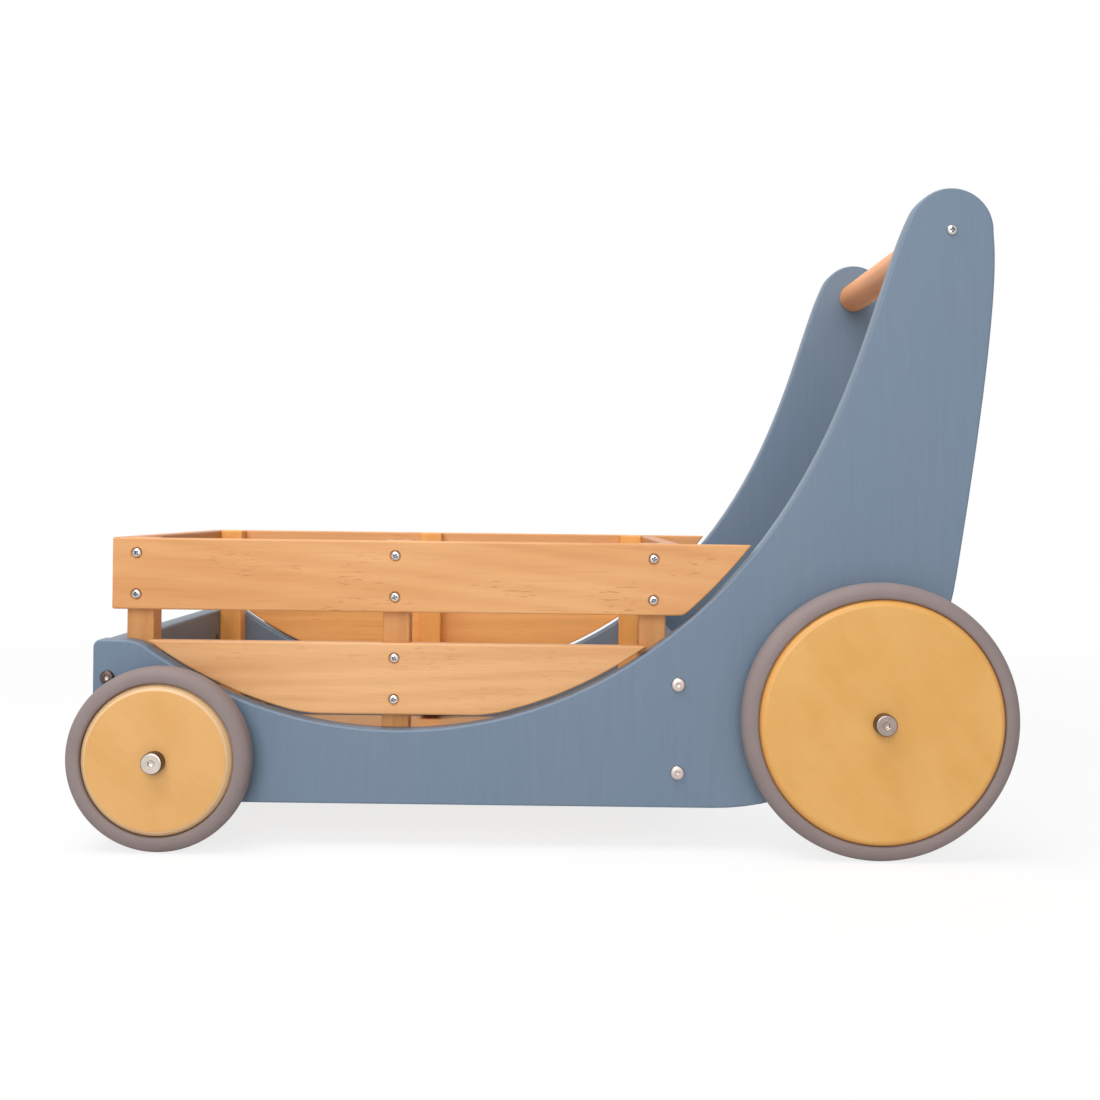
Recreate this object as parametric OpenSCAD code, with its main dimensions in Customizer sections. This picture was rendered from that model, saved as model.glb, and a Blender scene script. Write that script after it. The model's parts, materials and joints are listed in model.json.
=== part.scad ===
// Baby push walker: a slatted wooden box on four wheels, pushed by a bar between two tall arms.
// Sizes are in millimetres. +X runs from the nose to the handle, +Z is up, and the left side is at -Y.
// The origin lies on the ground under the middle of the walker.

/* [Wheels] */
// Distance between the front and rear axles
wheelbase = 467; // [380:1:570]
// Diameter of a front wheel over its tyre
front_wheel_d = 120; // [100:1:144]
// Diameter of a rear wheel over its tyre
rear_wheel_d = 180; // [150:1:216]
// Thickness of a wheel disc
disc_t = 20; // [16:0.5:26]
// Chamfer on the rim of a wheel disc
disc_chamfer = 4.5; // [0.5:0.1:6]
// Radial height of a tyre
tyre_h = 10.5; // [9:0.5:16]
// Width of a tyre
tyre_w = 18; // [15:0.5:24]
// Radius of the shoulders of a tyre
tyre_shoulder_r = 7; // [2:0.5:7.5]
// Space between a side panel and a wheel
wheel_gap = 5; // [3.5:0.1:10]

/* [Axles] */
// Diameter of an axle
axle_d = 10; // [8:0.5:12]
// Outer diameter of the bush in a wheel
bush_d = 13.5; // [13:0.5:18]
// Diameter of the collar between a panel and a wheel
collar_d = 22; // [16:0.5:30]
// Distance that the rear axle can be shifted forward
axle_travel = 47; // [20:1:56]
// Width of an axle nut across its corners
axle_nut_d = 19; // [16:0.5:22]
// Height of an axle nut
axle_nut_h = 8; // [5:0.5:12]
// Diameter of the washer under an axle nut
washer_d = 21; // [17:0.5:28]
// Thickness of the washer under an axle nut
washer_t = 2; // [1:0.1:3]
// Diameter of an axle cap
cap_d = 14; // [12:0.5:22]
// Height of an axle cap over the wheel disc
cap_h = 8; // [5:0.5:12]
// Diameter of the threaded shank of an axle cap
cap_shank_d = 6; // [4:0.5:7]
// Length of the threaded shank of an axle cap
cap_shank_l = 16; // [10:1:24]
// Hexagon socket of an axle cap across its corners
cap_socket_d = 5.8; // [4:0.1:8]
// Depth of the hexagon socket of an axle cap
cap_socket_h = 4; // [2:0.5:5]

/* [Side panels] */
// Width over the two side panels
body_w = 290; // [240:1:350]
// Thickness of a side panel
panel_t = 15; // [12:0.5:18]
// Height of the lower edge of the panels over the ground
panel_bottom = 28.5; // [20:0.5:34]
// Distance from the front axle to the front edge of the panels
nose_reach = 49.5; // [40:0.5:58]
// Height of the nose of the panels
nose_h = 106.5; // [96:0.5:128]
// Length of the flat top of the nose
nose_flat = 20.5; // [10:0.5:30]
// Radius of the upper front corner
nose_r = 5; // [2:0.5:9]
// Radius of the lower front corner
chin_r = 12; // [3:0.5:30]
// Radius that blends the nose into the scoop
hump_r = 25; // [10:1:40]
// Height of the lowest point of the scoop over the lower edge of the panels
scoop_rise = 49; // [40:0.5:56]
// Distance from the middle post back to the lowest point of the scoop
scoop_shift = 2; // [-10:0.5:10]

/* [Arms] */
// Height of the handle over the ground
handle_z = 412.5; // [350:0.5:495]
// Distance from the rear axle back to the handle
handle_back = 47.5; // [35:0.5:57]
// Radius of the upper end of an arm
arm_r = 28; // [24:0.5:34]
// Lean of the front edge of an arm at its upper end, from the horizontal
arm_lean = 64; // [58:0.5:75]
// Length of the bend where the scoop turns up into an arm
arm_bend_low = 161; // [120:1:190]
// Length of the bend below the upper end of an arm
arm_bend_top = 62; // [40:1:75]
// Length of the bend at the rear of an arm's round end
arm_bend_crown = 9.5; // [6:0.5:14]
// Distance from the rear axle back to the heel of a panel
heel_back = 54; // [50:0.5:60]
// Height of the heel over the rear axle
heel_rise = 95; // [85:0.5:115]
// Lean of the rear edge at the heel, in run over rise
heel_lean = 0.15; // [0.05:0.01:0.2]
// Length of the long bend of the rear edge over the heel
heel_bend = 200; // [120:1:205]
// Distance from the rear axle forward to the end of the rear sweep
sweep_lead = 106.5; // [95:0.5:115]
// Length of the bends of the rear sweep
sweep_bend = 90; // [80:1:95]
// Diameter of the handle bar
handle_d = 24; // [18:0.5:30]

/* [Box] */
// Thickness of the front and rear boards
board_t = 15; // [12:0.5:18]
// Height of the front and rear boards
board_h = 104; // [90:0.5:105]
// Height of the lower edge of the boards over the lower edge of the panels
board_lift = 1.5; // [0:0.5:3]
// Distance from the front edge of the panels to the front board
board_inset = 2.5; // [0:0.5:6]
// Distance from the rear axle forward to the inside of the rear board
rear_board_lead = 137; // [125:0.5:145]
// Thickness of the floor panel
floor_t = 9; // [6:0.5:11]
// Height of the top of the floor panel over the lower edge of the panels
floor_lift = 13.5; // [12:0.5:17]
// Depth of the grooves that hold the edges of the floor
groove_d = 5; // [3:0.5:8]
// Width of a post
post_w = 18; // [15:0.5:22]
// Gap between the floor and the lower end of a post
post_gap = 4; // [1:0.5:8]
// Height of the tops of the posts and upper slats over the ground
box_top = 202.5; // [190:0.5:240]
// Height of a slat
slat_h = 47.5; // [40:0.5:50]
// Thickness of a slat
slat_t = 10; // [8:0.5:12]
// Space between an upper and a lower slat
slat_space = 20.5; // [15:0.5:24]
// Distance that the upper side slats reach forward of the front posts
slat_lead = 7; // [0:0.5:12]
// Gap between the rear end of an upper slat and the arm
upper_gap = 4; // [2:0.5:8]
// Gap between the ends of a lower slat and the scoop
lower_gap = 3; // [1:0.5:5]
// Radius of the lower rear corner of an upper slat
slat_corner_r = 9; // [3:0.5:14]

/* [Fasteners] */
// Diameter of the head of a wood screw
screw_head_d = 6.8; // [6:0.1:9]
// Height of the head of a wood screw
screw_head_h = 2; // [1:0.1:3]
// Diameter of the shank of a wood screw
screw_d = 4; // [3:0.1:5]
// Length of a slat screw under its head
slat_screw_l = 22; // [16:1:24]
// Depth of the recess for the head of a slat screw
screw_recess = 1.4; // [0.5:0.1:2]
// Distance between the two side slat screws at a post
screw_pitch = 27.5; // [20:0.5:32]
// Distance between the two cross slat screws at a post
cross_screw_pitch = 12; // [8:0.5:14]
// Length of a post screw under its head
post_screw_l = 28; // [24:1:32]
// Height of the post screws over the floor panel
post_screw_rise = 20; // [16:0.5:24]
// Diameter of the head of a handle screw
handle_screw_head_d = 7.3; // [6:0.1:10]
// Length of a handle screw under its head
handle_screw_l = 50; // [35:1:60]
// Diameter of the shank of a board bolt
bolt_d = 5; // [4:0.5:6]
// Diameter of the head of a board bolt
bolt_head_d = 9.5; // [8:0.1:12]
// Height of the head of a board bolt
bolt_head_h = 2.7; // [2:0.1:3]
// Length of a board bolt under its head
bolt_l = 50; // [45:1:60]
// Hexagon socket of a board bolt across its corners
bolt_socket_d = 3.5; // [2:0.1:5]
// Distance of the lower bolts from the lower edge of a board
bolt_low = 22; // [15:0.5:30]
// Distance of the upper bolts from the upper edge of a board
bolt_high = 24; // [15:0.5:30]
// Diameter of a barrel nut
barrel_d = 10; // [8:0.5:12]
// Length of a barrel nut
barrel_l = 12; // [9:0.5:14]
// Distance of a barrel nut from the end of its board
barrel_in = 27; // [25:0.5:35]

/* [Hidden] */
$fn = 96;
// Steps along a bend of an outline, and degrees in a step of an arc
bend_steps = 24;
arc_step = 3;
// Clearances: running fit at a bush, end float of moving pieces, screw in its hole, axle in its slot
run_clear = 0.05;
float_clear = 0.2;
hole_clear = 0.1;
slot_clear = 0.3;
recess_clear = 0.6;
// Length by which a cutting shape runs past the face that it cuts
past = 1;
// Details: point of a wood screw, straight rim and sloping crown of screw and bolt heads, depth of a bolt's
// socket, chamfer of an axle cap, and how far a front axle shows past its nut
screw_tip = 4;
screw_rim_h = 0.8;
screw_slope = 1.6;
bolt_rim_h = 0.8;
bolt_slope = 1.9;
socket_h = 1.6;
cap_chamfer = 1;
stub_past_nut = 2;

// Axles
half_l = (wheelbase + front_wheel_d / 2 + rear_wheel_d / 2) / 2;
front_axle_at = [front_wheel_d / 2 - half_l, front_wheel_d / 2];
rear_axle_at = [half_l - rear_wheel_d / 2, rear_wheel_d / 2];

// Distances outward from the middle plane
panel_out = body_w / 2;
panel_in = panel_out - panel_t;
wheel_in = panel_out + wheel_gap;
wheel_out = wheel_in + disc_t;
axle_end = wheel_out + float_clear;
post_in = panel_in - post_w;
post_mid = panel_in - post_w / 2;
slat_out = panel_in + slat_t;
nut_out = panel_in - float_clear;
nut_in = nut_out - washer_t - axle_nut_h;
stub_end = nut_in - stub_past_nut;

// Box
nose_x = front_axle_at[0] - nose_reach;
nose_z = panel_bottom + nose_h;
box_front = nose_x + board_inset + board_t;
box_rear = rear_axle_at[0] - rear_board_lead;
post_x = [box_front + post_w / 2, (box_front + box_rear) / 2, box_rear - post_w / 2];
board_x = [box_front - board_t / 2, box_rear + board_t / 2];
board_bottom = panel_bottom + board_lift;
bolt_z = [board_bottom + bolt_low, board_bottom + board_h - bolt_high];
upper_z = box_top - slat_h;
lower_z = upper_z - slat_space - slat_h;
floor_top = panel_bottom + floor_lift;
floor_z = floor_top - floor_t;
post_bottom = floor_top + post_gap;
barrel_out = panel_in - barrel_in;

// Outline of a side panel: the scoop meets the hump of the nose in a smooth tangent
hump_c = [nose_x + nose_flat, nose_z - hump_r];
scoop_low = [post_x[1] + scoop_shift, panel_bottom + scoop_rise];
scoop_run = scoop_low[0] - hump_c[0];
scoop_drop = scoop_low[1] - hump_c[1];
scoop_r = (scoop_run ^ 2 + scoop_drop ^ 2 - hump_r ^ 2) / (2 * (hump_r - scoop_drop));
scoop_c = scoop_low + [0, scoop_r];
scoop_turn = asin(scoop_run / (scoop_r + hump_r));
handle_at = [rear_axle_at[0] + handle_back, handle_z];
heel = rear_axle_at + [heel_back, heel_rise];
heel_dir = [-heel_lean, -1] / norm([heel_lean, 1]);
sweep_end = [rear_axle_at[0] - sweep_lead, panel_bottom];

// Points of an arc about c, from angle a to angle b
function arc(c, r, a, b) =
    let (n = max(1, ceil(abs(b - a) / arc_step)))
    [for (i = [0:n]) let (t = a + (b - a) * i / n) c + r * [cos(t), sin(t)]];

// A point, and the direction, at t on the bend with the four control points p
function bend_at(p, t) =
    (1 - t) ^ 3 * p[0] + 3 * t * (1 - t) ^ 2 * p[1] + 3 * t ^ 2 * (1 - t) * p[2] + t ^ 3 * p[3];
function bend_dir(p, t) =
    let (d = (1 - t) ^ 2 * (p[1] - p[0]) + 2 * t * (1 - t) * (p[2] - p[1]) + t ^ 2 * (p[3] - p[2]))
    d / norm(d);
function bend(p) = [for (i = [1:bend_steps - 1]) bend_at(p, i / bend_steps)];

// The front edge of an arm, from the end of the scoop to the round upper end
arm_start = scoop_c + scoop_r * [sin(scoop_turn), -cos(scoop_turn)];
arm_end = handle_at + arm_r * [-sin(arm_lean), cos(arm_lean)];
arm_front = [
    arm_start,
    arm_start + arm_bend_low * [cos(scoop_turn), sin(scoop_turn)],
    arm_end - arm_bend_top * [cos(arm_lean), sin(arm_lean)],
    arm_end
];

// The rear edge of an arm, and the sweep from the heel to the lower edge
crown = handle_at + [arm_r, 0];
crown_bend = [0, -arm_bend_crown];
arm_rear = [crown, crown + crown_bend, heel - heel_bend * heel_dir, heel];
sweep = [heel, heel + sweep_bend * heel_dir, sweep_end + [sweep_bend, 0], sweep_end];

panel_outline = concat(
    arc([nose_x + nose_r, nose_z - nose_r], nose_r, 180, 90),
    arc(hump_c, hump_r, 90, 90 - scoop_turn),
    arc(scoop_c, scoop_r, 270 - scoop_turn + arc_step / 2, 270 + scoop_turn),
    bend(arm_front),
    arc(handle_at, arm_r, 90 + arm_lean, 0),
    bend(arm_rear),
    [heel],
    bend(sweep),
    [sweep_end],
    arc([nose_x + chin_r, panel_bottom + chin_r], chin_r, 270, 180)
);

// A point beside the front edge of an arm, one upper gap away, and the place on it at a height z
function beside_arm(t) =
    let (d = bend_dir(arm_front, t)) bend_at(arm_front, t) + upper_gap * [-d[1], d[0]];
function arm_place(z, low = 0, high = 1, tries = 20) =
    let (mid = (low + high) / 2)
    tries == 0 ? mid
    : beside_arm(mid)[1] < z ? arm_place(z, mid, high, tries - 1)
    : arm_place(z, low, mid, tries - 1);

// Upper slat: its rear end follows the arm, over a rounded lower corner
slat_t0 = arm_place(upper_z);
slat_dir = bend_dir(arm_front, slat_t0);
slat_turn = atan2(slat_dir[1], slat_dir[0]);
slat_trim = slat_corner_r * tan(slat_turn / 2);
slat_t1 = arm_place(upper_z + slat_trim * sin(slat_turn));
slat_t2 = arm_place(box_top);
corner_c = [beside_arm(slat_t0)[0] - slat_trim, upper_z + slat_corner_r];
upper_slat_outline = concat(
    [[box_front - slat_lead, box_top], [box_front - slat_lead, upper_z]],
    arc(corner_c, slat_corner_r, 270, 270 + slat_turn),
    [for (i = [1:bend_steps]) beside_arm(slat_t1 + (slat_t2 - slat_t1) * i / bend_steps)]
);

// The left side as drawn, or its mirror image on the right
module on_side(side) {
    if (side == "left") children();
    else mirror([0, 1, 0]) children();
}

module both_sides() {
    children();
    mirror([0, 1, 0]) children();
}

// A flat shape drawn in X and Z, made solid between two distances outward on the left side
module upright(from, to) {
    translate([0, -from, 0]) rotate([90, 0, 0]) linear_extrude(to - from) children();
}

// A round piece that runs outward on the left side at a place in X and Z
module rod(d, from, to, at) {
    translate([at[0], -from, at[1]]) rotate([90, 0, 0]) cylinder(d = d, h = to - from);
}

// Turns a piece drawn along +Z so that it points outward on the left side
module facing_out(out, at) {
    translate([at[0], -out, at[1]]) rotate([90, 0, 0]) children();
}

// A pan-head wood screw: the head stands over z = 0 and the shank runs down
module wood_screw(head_d, length) {
    rotate_extrude() polygon([
        [0, -length], [screw_d / 2, -length + screw_tip], [screw_d / 2, 0], [head_d / 2, 0],
        [head_d / 2, screw_rim_h], [head_d / 2 - screw_slope, screw_head_h], [0, screw_head_h]
    ]);
}

// The hole for a wood screw, with a recess above its head seat
module screw_hole(length, recess = 0) {
    translate([0, 0, -length - past]) cylinder(d = screw_d + hole_clear, h = length + 2 * past);
    if (recess > 0)
        cylinder(d = screw_head_d + 2 * recess_clear, h = recess + past);
}

// Places of the screws, on the left side
module upper_screw_places() {
    for (x = post_x, dz = [-1, 1])
        facing_out(slat_out - screw_recess, [x, upper_z + slat_h / 2 + dz * screw_pitch / 2])
            children();
}

module lower_screw_places() {
    for (dz = [-1, 1])
        facing_out(slat_out - screw_recess, [post_x[1], lower_z + slat_h / 2 + dz * screw_pitch / 2])
            children();
}

module post_screw_places() {
    for (x = post_x)
        translate([x, -post_in, floor_top + post_screw_rise]) rotate([-90, 0, 0]) children();
}

// Cross slat screws: end -1 is the front slat and end 1 is the rear slat
module cross_screw_places(end) {
    seat = end < 0 ? box_front - slat_t + screw_recess : box_rear + slat_t - screw_recess;
    for (dz = [-1, 1])
        translate([seat, -post_mid, upper_z + slat_h / 2 + dz * cross_screw_pitch / 2])
            rotate([0, 90 * end, 0]) children();
}

module bolt_places(end) {
    for (z = bolt_z)
        facing_out(panel_out, [board_x[end], z]) children();
}

module handle_screw_place() {
    facing_out(panel_out, handle_at) children();
}

// The floor as a block, or the space for it with a clearance all round
module floor_block(clear = 0) {
    reach = groove_d + clear;
    translate([box_front - reach, -panel_in - reach, floor_z - clear])
        cube([box_rear - box_front + 2 * reach, 2 * (panel_in + reach), floor_t + 2 * clear]);
}

// Painted side panel: holes for its bolts, screws and front axle, the rear axle's slot and the floor's groove
module side_panel(side) {
    slot_d = axle_d + 2 * slot_clear;
    slot_front = rear_axle_at - [axle_travel, 0];
    color("#7d8fa3") on_side(side) difference() {
        upright(panel_in, panel_out) polygon(panel_outline);
        rod(axle_d + hole_clear, panel_in - past, panel_out + past, front_axle_at);
        for (at = [slot_front, rear_axle_at])
            rod(slot_d, panel_in - past, panel_out + past, at);
        translate([slot_front[0], -panel_out - past, slot_front[1] - slot_d / 2])
            cube([axle_travel, panel_t + 2 * past, slot_d]);
        for (end = [0, 1])
            bolt_places(end) translate([0, 0, -panel_t - past])
                cylinder(d = bolt_d + hole_clear, h = panel_t + 2 * past);
        handle_screw_place() screw_hole(handle_screw_l);
        post_screw_places() screw_hole(post_screw_l);
        floor_block(hole_clear);
    }
}

// Front or rear board, with the bores for its bolts, blind holes for the barrel nuts and the floor's groove
module board(end) {
    nut_face = end == 0 ? box_front : box_rear;
    color("#76879b") difference() {
        translate([board_x[end] - board_t / 2, -panel_in, board_bottom])
            cube([board_t, 2 * panel_in, board_h]);
        both_sides() {
            bolt_places(end) translate([0, 0, -bolt_l - past])
                cylinder(d = bolt_d + hole_clear, h = bolt_l);
            for (z = bolt_z)
                translate([nut_face, -barrel_out, z]) rotate([0, end == 0 ? -90 : 90, 0])
                    translate([0, 0, -past]) cylinder(d = barrel_d + hole_clear, h = barrel_l + past);
        }
        floor_block(hole_clear);
    }
}

// Floor panel, whose edges lie in the grooves of the panels and boards
module floor_panel() {
    color("#c99a5b") floor_block();
}

// Square post number i from the nose, fixed inside a side panel
module post(i, side) {
    color("#d9a066") on_side(side) difference() {
        translate([post_x[i] - post_w / 2, -panel_in, post_bottom])
            cube([post_w, post_w, box_top - post_bottom]);
        upper_screw_places() screw_hole(slat_screw_l);
        if (i == 1) lower_screw_places() screw_hole(slat_screw_l);
        if (i == 0) cross_screw_places(-1) screw_hole(slat_screw_l);
        if (i == 2) cross_screw_places(1) screw_hole(slat_screw_l);
        post_screw_places() screw_hole(post_screw_l);
    }
}

module upper_slat(side) {
    color("#e6b078") on_side(side) difference() {
        upright(panel_in, slat_out) polygon(upper_slat_outline);
        upper_screw_places() screw_hole(slat_screw_l, screw_recess);
    }
}

// Lower slat, whose ends follow the scoop
module lower_slat(side) {
    color("#e6b078") on_side(side) difference() {
        upright(panel_in, slat_out) intersection() {
            translate([scoop_c[0] - scoop_r, lower_z]) square([2 * scoop_r, slat_h]);
            translate(scoop_c) circle(r = scoop_r - lower_gap);
        }
        lower_screw_places() screw_hole(slat_screw_l, screw_recess);
    }
}

module cross_slat(end) {
    color("#e0a86e") difference() {
        translate([end < 0 ? box_front - slat_t : box_rear, -panel_in, upper_z])
            cube([slat_t, 2 * panel_in, slat_h]);
        both_sides() cross_screw_places(end) screw_hole(slat_screw_l, screw_recess);
    }
}

module handle_bar() {
    color("#cf9060") difference() {
        translate([handle_at[0], panel_in, handle_at[1]]) rotate([90, 0, 0])
            cylinder(d = handle_d, h = 2 * panel_in);
        both_sides() handle_screw_place() screw_hole(handle_screw_l);
    }
}

module handle_screws() {
    color("#c8c8c8") both_sides() handle_screw_place() wood_screw(handle_screw_head_d, handle_screw_l);
}

module slat_screws() {
    color("#c8c8c8") both_sides() {
        upper_screw_places() wood_screw(screw_head_d, slat_screw_l);
        lower_screw_places() wood_screw(screw_head_d, slat_screw_l);
    }
}

module cross_slat_screws() {
    color("#c8c8c8") both_sides()
        for (end = [-1, 1])
            cross_screw_places(end) wood_screw(screw_head_d, slat_screw_l);
}

module post_screws() {
    color("#c8c8c8") both_sides() post_screw_places() wood_screw(screw_head_d, post_screw_l);
}

// Button-head bolts with a hexagon socket
module board_bolts() {
    color("#b8b8b8") both_sides() for (end = [0, 1]) bolt_places(end) difference() {
        rotate_extrude() polygon([
            [0, -bolt_l], [bolt_d / 2, -bolt_l], [bolt_d / 2, 0], [bolt_head_d / 2, 0],
            [bolt_head_d / 2, bolt_rim_h], [bolt_head_d / 2 - bolt_slope, bolt_head_h], [0, bolt_head_h]
        ]);
        translate([0, 0, bolt_head_h - socket_h]) cylinder(d = bolt_socket_d, h = socket_h + past, $fn = 6);
    }
}

module barrel_nuts() {
    color("#b8b8b8") both_sides() for (end = [0, 1], z = bolt_z)
        translate([end == 0 ? box_front : box_rear, -barrel_out, z]) rotate([0, end == 0 ? -90 : 90, 0])
            difference() {
                cylinder(d = barrel_d, h = barrel_l);
                translate([0, 0, board_t / 2]) rotate([90, 0, 0])
                    cylinder(d = bolt_d + hole_clear, h = 2 * barrel_d, center = true);
            }
}

// The threaded bore in the end of an axle, for its cap
module cap_bore(at) {
    rod(cap_shank_d + hole_clear, axle_end - cap_shank_l - past, axle_end + past, at);
}

// Short front axle, held in the panel by a nut on the inside
module front_axle(side) {
    color("#9a9a9a") on_side(side) difference() {
        rod(axle_d, stub_end, axle_end, front_axle_at);
        cap_bore(front_axle_at);
    }
}

// Rear axle, right across the walker
module rear_axle() {
    color("#9a9a9a") difference() {
        rod(axle_d, -axle_end, axle_end, rear_axle_at);
        both_sides() cap_bore(rear_axle_at);
    }
}

// A ring on an axle, on both sides, round or with flat sides
module rings(d, from, to, at, sides = $fn) {
    both_sides() difference() {
        rod(d, from, to, at, $fn = sides);
        rod(axle_d + hole_clear, from - past, to + past, at);
    }
}

module axle_collars(at) {
    color("#4a4a4a") rings(collar_d, panel_out + float_clear, wheel_in - float_clear, at);
}

module axle_washers(at) {
    color("#b0b0b0") rings(washer_d, nut_out - washer_t, nut_out, at);
}

module axle_nuts(at) {
    color("#b0b0b0") rings(axle_nut_d, nut_in, nut_out - washer_t, at, sides = 6);
}

// Axle cap: a socket-head cap with its shank in the end of the axle
module axle_cap(at, side) {
    color("#a9a9a9") on_side(side) facing_out(axle_end, at) difference() {
        rotate_extrude() polygon([
            [0, -cap_shank_l], [cap_shank_d / 2, -cap_shank_l], [cap_shank_d / 2, 0], [cap_d / 2, 0],
            [cap_d / 2, cap_h - cap_chamfer], [cap_d / 2 - cap_chamfer, cap_h], [0, cap_h]
        ]);
        translate([0, 0, cap_h - cap_socket_h])
            cylinder(d = cap_socket_d, h = cap_socket_h + past, $fn = 6);
    }
}

// Plywood wheel disc with a chamfered rim and a bore for its bush
module wheel_disc(d, at, side) {
    r = d / 2 - tyre_h;
    color("#e0b268") on_side(side) facing_out(wheel_in, at) rotate_extrude() polygon([
        [bush_d / 2, 0], [r - disc_chamfer, 0], [r, disc_chamfer], [r, disc_t - disc_chamfer],
        [r - disc_chamfer, disc_t], [bush_d / 2, disc_t]
    ]);
}

// Rubber tyre with round shoulders, centred on the disc
module tyre(d, at, side) {
    r = d / 2;
    shoulder_x = r - tyre_shoulder_r;
    color("#8f8486") on_side(side) facing_out(wheel_in + (disc_t - tyre_w) / 2, at)
        rotate_extrude() polygon(concat(
            [[r - tyre_h, 0]],
            arc([shoulder_x, tyre_shoulder_r], tyre_shoulder_r, 270, 360),
            arc([shoulder_x, tyre_w - tyre_shoulder_r], tyre_shoulder_r, 0, 90),
            [[r - tyre_h, tyre_w]]
        ));
}

// Plain bush that turns on the axle with its wheel
module bush(at, side) {
    color("#e8e4da") on_side(side) difference() {
        rod(bush_d, wheel_in, wheel_out, at);
        rod(axle_d + 2 * run_clear, wheel_in - past, wheel_out + past, at);
    }
}

side_panel("left");  // side_panel_left
side_panel("right");  // side_panel_right
board(0);  // front_board
board(1);  // rear_board
floor_panel();
post(0, "left");  // front_post_left
post(0, "right");  // front_post_right
post(1, "left");  // middle_post_left
post(1, "right");  // middle_post_right
post(2, "left");  // rear_post_left
post(2, "right");  // rear_post_right
upper_slat("left");  // upper_slat_left
upper_slat("right");  // upper_slat_right
lower_slat("left");  // lower_slat_left
lower_slat("right");  // lower_slat_right
cross_slat(-1);  // front_cross_slat
cross_slat(1);  // rear_cross_slat
handle_bar();
handle_screws();
slat_screws();
cross_slat_screws();
post_screws();
board_bolts();
barrel_nuts();
front_axle("left");  // front_axle_left
front_axle("right");  // front_axle_right
axle_collars(front_axle_at);  // front_axle_collars
axle_washers(front_axle_at);  // front_axle_washers
axle_nuts(front_axle_at);  // front_axle_nuts
axle_cap(front_axle_at, "left");  // front_axle_cap_left
axle_cap(front_axle_at, "right");  // front_axle_cap_right
rear_axle();
axle_collars(rear_axle_at);  // rear_axle_collars
axle_washers(rear_axle_at);  // rear_axle_washers
axle_nuts(rear_axle_at);  // rear_axle_nuts
axle_cap(rear_axle_at, "left");  // rear_axle_cap_left
axle_cap(rear_axle_at, "right");  // rear_axle_cap_right
wheel_disc(front_wheel_d, front_axle_at, "left");  // front_wheel_disc_left
wheel_disc(front_wheel_d, front_axle_at, "right");  // front_wheel_disc_right
wheel_disc(rear_wheel_d, rear_axle_at, "left");  // rear_wheel_disc_left
wheel_disc(rear_wheel_d, rear_axle_at, "right");  // rear_wheel_disc_right
tyre(front_wheel_d, front_axle_at, "left");  // front_tyre_left
tyre(front_wheel_d, front_axle_at, "right");  // front_tyre_right
tyre(rear_wheel_d, rear_axle_at, "left");  // rear_tyre_left
tyre(rear_wheel_d, rear_axle_at, "right");  // rear_tyre_right
bush(front_axle_at, "left");  // front_bush_left
bush(front_axle_at, "right");  // front_bush_right
bush(rear_axle_at, "left");  // rear_bush_left
bush(rear_axle_at, "right");  // rear_bush_right
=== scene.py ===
import json
import math

import bmesh
import bpy
from mathutils import Matrix, Vector
from mathutils.geometry import delaunay_2d_cdt

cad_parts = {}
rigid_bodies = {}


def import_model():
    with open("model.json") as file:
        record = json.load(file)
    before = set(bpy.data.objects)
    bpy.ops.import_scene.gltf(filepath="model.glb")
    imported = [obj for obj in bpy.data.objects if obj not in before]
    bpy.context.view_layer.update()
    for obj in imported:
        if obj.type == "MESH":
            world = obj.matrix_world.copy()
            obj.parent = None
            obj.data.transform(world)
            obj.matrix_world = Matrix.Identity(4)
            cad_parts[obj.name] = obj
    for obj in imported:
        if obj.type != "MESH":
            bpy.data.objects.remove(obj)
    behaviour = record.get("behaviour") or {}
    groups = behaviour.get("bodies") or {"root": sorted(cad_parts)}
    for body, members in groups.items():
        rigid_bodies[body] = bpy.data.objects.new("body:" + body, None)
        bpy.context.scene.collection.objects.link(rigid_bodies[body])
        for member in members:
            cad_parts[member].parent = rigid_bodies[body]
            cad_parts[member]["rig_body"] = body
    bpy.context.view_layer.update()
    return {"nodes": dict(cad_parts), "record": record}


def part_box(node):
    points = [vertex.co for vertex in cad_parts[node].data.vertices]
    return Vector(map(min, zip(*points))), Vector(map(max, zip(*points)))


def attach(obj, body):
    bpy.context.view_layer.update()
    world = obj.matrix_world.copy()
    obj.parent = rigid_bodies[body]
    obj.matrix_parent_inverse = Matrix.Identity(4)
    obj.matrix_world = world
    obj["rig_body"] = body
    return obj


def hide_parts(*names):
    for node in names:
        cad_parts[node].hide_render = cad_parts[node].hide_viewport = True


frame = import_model()
nodes = frame["nodes"]
slot_of = {part["node"]: part["material_slot"] for part in frame["record"]["subparts"]}

SIDES = ("left", "right")
ENDS = ("front", "rear")
POSTS = ("front", "middle", "rear")
MM = 0.001
X, Y, Z = 0, 1, 2
SIDEWAYS = (0, 1, 0)
ZERO = (0, 0, 0)
WHITE = (1.0, 1.0, 1.0, 1.0)

# Camera, worked out from the photograph's perspective
CAMERA_AT = (0.0038, -0.990, 0.2266)
CAMERA_ROLL = 0.0125
CAMERA_LENS = 41.87
CAMERA_SENSOR = 36.0
CAMERA_SHIFT = (-0.0013, -0.0395)
CAMERA_CLIP = 0.01

# Lamps, each with its place, its size in metres and its power in watts
LAMPS = {
    "key": ((-0.25, -3.0, 1.2), 2.4, 51.0),
    "top": ((-0.6, -0.6, 2.1), 1.8, 36.0),
    "back": ((0.3, 3.0, 1.3), 2.4, 30.0),
}
LAMP_AIM = Vector((0.0, 0.0, 0.18))
WORLD_LIGHT = 0.25

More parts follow.
